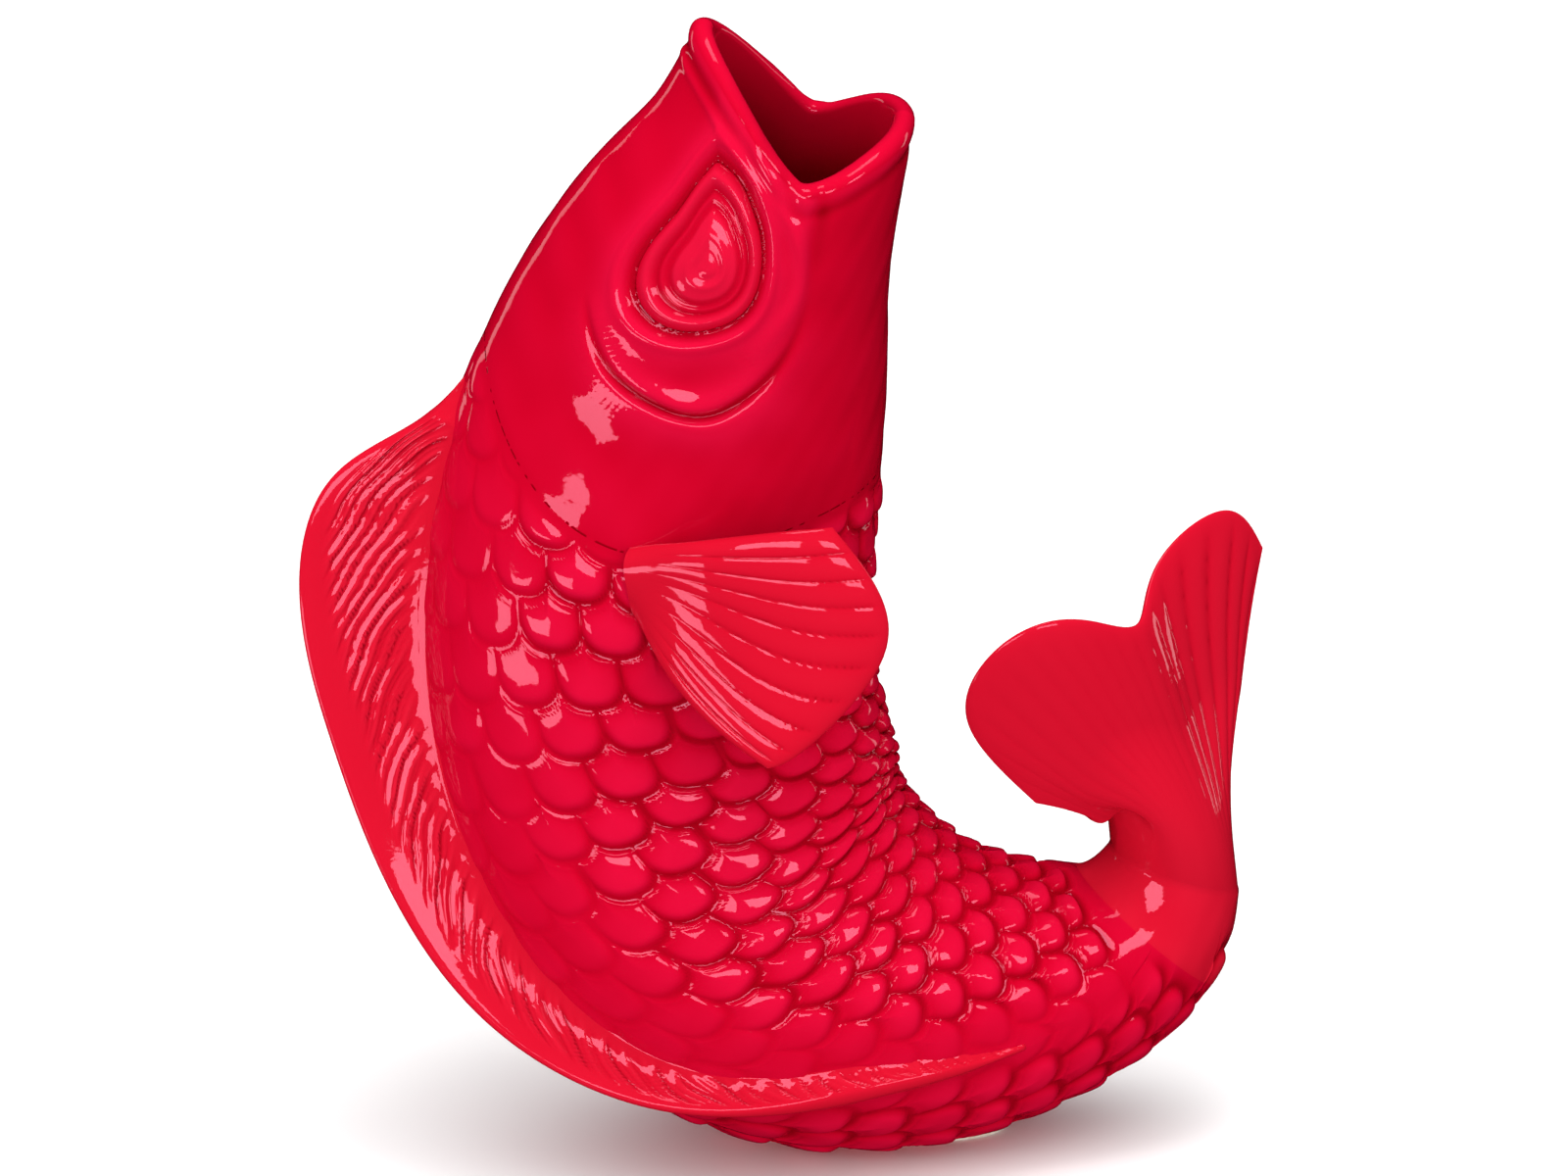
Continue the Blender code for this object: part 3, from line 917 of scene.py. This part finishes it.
def build():
    """Makes every piece, in order down the fish, and gives each its glaze."""
    body_glaze, fin_glaze, eye_glaze = (glaze(name) for name in GLAZES)
    middle, _, flank, *_ = section(np.array(BREAST_FIN_REACH))
    away = (BREAST_FIN - middle) @ flank
    mirrored = (BREAST_FIN - 2 * away[..., None] * flank)[::-1]
    made = [
        (head(), body_glaze),
        (trunk("body_upper", gill, WAIST, 170, WAIST, False), body_glaze),
        (trunk("body_lower", lambda angle: WAIST + 0 * angle, TRUNK_END, 170, DOME_START, True), body_glaze),
        (stalk(), body_glaze),
        (tail(), fin_glaze),
        (back_fin(), fin_glaze),
        (breast_fin("breast_fan_right", BREAST_FIN, 1, "breast_fin_right"), fin_glaze),
        (breast_fin("breast_fan_left", mirrored, -1, "breast_fin_left"), fin_glaze),
        (eye("eye_ball_right", 1, "eye_right"), eye_glaze),
        (eye("eye_ball_left", -1, "eye_left"), eye_glaze),
        (foot(), clay()),
    ]
    for piece_made, finish in made:
        piece_made.data.materials.append(finish)


# ---- the studio ----

# How bright the room is all round, how much more in front, and how much more overhead, and
# the way to its bright front.
ROOM_AROUND = 0.3
ROOM_FRONT = 1.4
ROOM_ABOVE = 2.0
ROOM_FRONT_WAY = (-0.05, -0.9, 0.3)

FLOOR_RADIUS = 6
CAMERA_AIM = (-0.023, 0.0, 0.1475)
CAMERA_DISTANCE = 1.8
CAMERA_TILT = math.radians(17)
CAMERA_LENS = 162


def panel(name, place, aim, width, height, power, lit=True):
    """A soft light panel at place that faces aim. Where lit is false it is only mirrored in the glaze."""
    light = bpy.data.lights.new(name, "AREA")
    light.shape = "RECTANGLE"
    light.size = width
    light.size_y = height
    light.energy = power
    lamp = bpy.data.objects.new(name, light)
    lamp.location = place
    way = np.array(aim, float) - np.array(place, float)
    yaw = math.atan2(-way[0], way[1])
    pitch = math.atan2(math.hypot(way[0], way[1]), -way[2])
    lamp.rotation_euler = (pitch, 0, yaw)
    lamp.visible_diffuse = lit
    bpy.context.collection.objects.link(lamp)


def sky(tree, front):
    """A dim room, brighter towards the front and overhead, which lights the shapes but isn't mirrored."""
    nodes, links = tree.nodes, tree.links
    place = nodes.new("ShaderNodeTexCoord")
    facing = nodes.new("ShaderNodeVectorMath")
    facing.operation = "DOT_PRODUCT"
    facing.inputs[1].default_value = unit(np.array(front))
    links.new(place.outputs["Generated"], facing.inputs[0])
    ahead = nodes.new("ShaderNodeMath")
    ahead.operation = "MAXIMUM"
    ahead.inputs[1].default_value = 0.0
    links.new(facing.outputs["Value"], ahead.inputs[0])
    bright = nodes.new("ShaderNodeMath")
    bright.operation = "MULTIPLY_ADD"
    bright.inputs[1].default_value = ROOM_FRONT
    bright.inputs[2].default_value = ROOM_AROUND
    links.new(ahead.outputs["Value"], bright.inputs[0])
    split = nodes.new("ShaderNodeSeparateXYZ")
    links.new(place.outputs["Generated"], split.inputs["Vector"])
    over = nodes.new("ShaderNodeMath")
    over.operation = "MAXIMUM"
    over.inputs[1].default_value = 0.0
    links.new(split.outputs["Z"], over.inputs[0])
    narrow = nodes.new("ShaderNodeMath")
    narrow.operation = "POWER"
    narrow.inputs[1].default_value = 4.0
    links.new(over.outputs["Value"], narrow.inputs[0])
    total = nodes.new("ShaderNodeMath")
    total.operation = "MULTIPLY_ADD"
    total.inputs[1].default_value = ROOM_ABOVE
    links.new(narrow.outputs["Value"], total.inputs[0])
    links.new(bright.outputs["Value"], total.inputs[2])
    links.new(total.outputs["Value"], nodes["Background"].inputs["Strength"])
    nodes["Background"].inputs["Color"].default_value = (1, 1, 1, 1)


def studio():
    """The pale floor, the lights and the camera."""
    middle = [(cad_low[i] + cad_high[i]) / 2 for i in range(3)]
    shape = bmesh.new()
    bmesh.ops.create_circle(shape, cap_ends=True, segments=96, radius=FLOOR_RADIUS)
    mesh = bpy.data.meshes.new("floor")
    shape.to_mesh(mesh)
    shape.free()
    floor = bpy.data.objects.new("floor", mesh)
    bpy.context.collection.objects.link(floor)
    # The fish neither mirrors the floor nor is lit or shaded by it.
    floor.visible_glossy = False
    floor.visible_diffuse = False
    floor.visible_shadow = False
    paper = bpy.data.materials.new("pale floor")
    paper.use_nodes = True
    shader = paper.node_tree.nodes["Principled BSDF"]
    shader.inputs["Base Color"].default_value = (0.93, 0.93, 0.93, 1)
    shader.inputs["Roughness"].default_value = 0.9
    shader.inputs["Specular IOR Level"].default_value = 0.0
    mesh.materials.append(paper)
    world = bpy.data.worlds.new("studio")
    world.use_nodes = True
    sky(world.node_tree, ROOM_FRONT_WAY)
    world.cycles_visibility.glossy = False
    bpy.context.scene.world = world
    panel("key", (-0.36, -1.5, 0.86), middle, 0.85, 0.45, 8.0, lit=False)
    panel("second", (0.78, -1.3, 1.0), middle, 0.6, 0.4, 5.2, lit=False)
    panel("low", (-0.46, -0.44, 0.12), (-0.06, -0.05, 0.2), 0.22, 0.12, 0.5, lit=False)
    panel("top", (0.1, -0.2, 1.6), middle, 0.6, 0.4, 3.0)
    panel("rim_right", (1.3, 0.9, 0.35), middle, 0.2, 0.8, 0.8, lit=False)
    panel("rim_left", (-1.3, 0.9, 0.45), middle, 0.2, 0.8, 0.8, lit=False)
    scene = bpy.context.scene
    scene.view_settings.view_transform = "Standard"
    scene.view_settings.look = "None"
    camera = bpy.data.cameras.new("camera")
    camera.sensor_width = 36
    camera.lens = CAMERA_LENS
    seat = bpy.data.objects.new("camera", camera)
    x, y, z = CAMERA_AIM
    back = CAMERA_DISTANCE * math.cos(CAMERA_TILT)
    seat.location = (x, y - back, z + CAMERA_DISTANCE * math.sin(CAMERA_TILT))
    seat.rotation_euler = (math.pi / 2 - CAMERA_TILT, 0, 0)
    bpy.context.collection.objects.link(seat)
    scene.camera = seat


build()
studio()
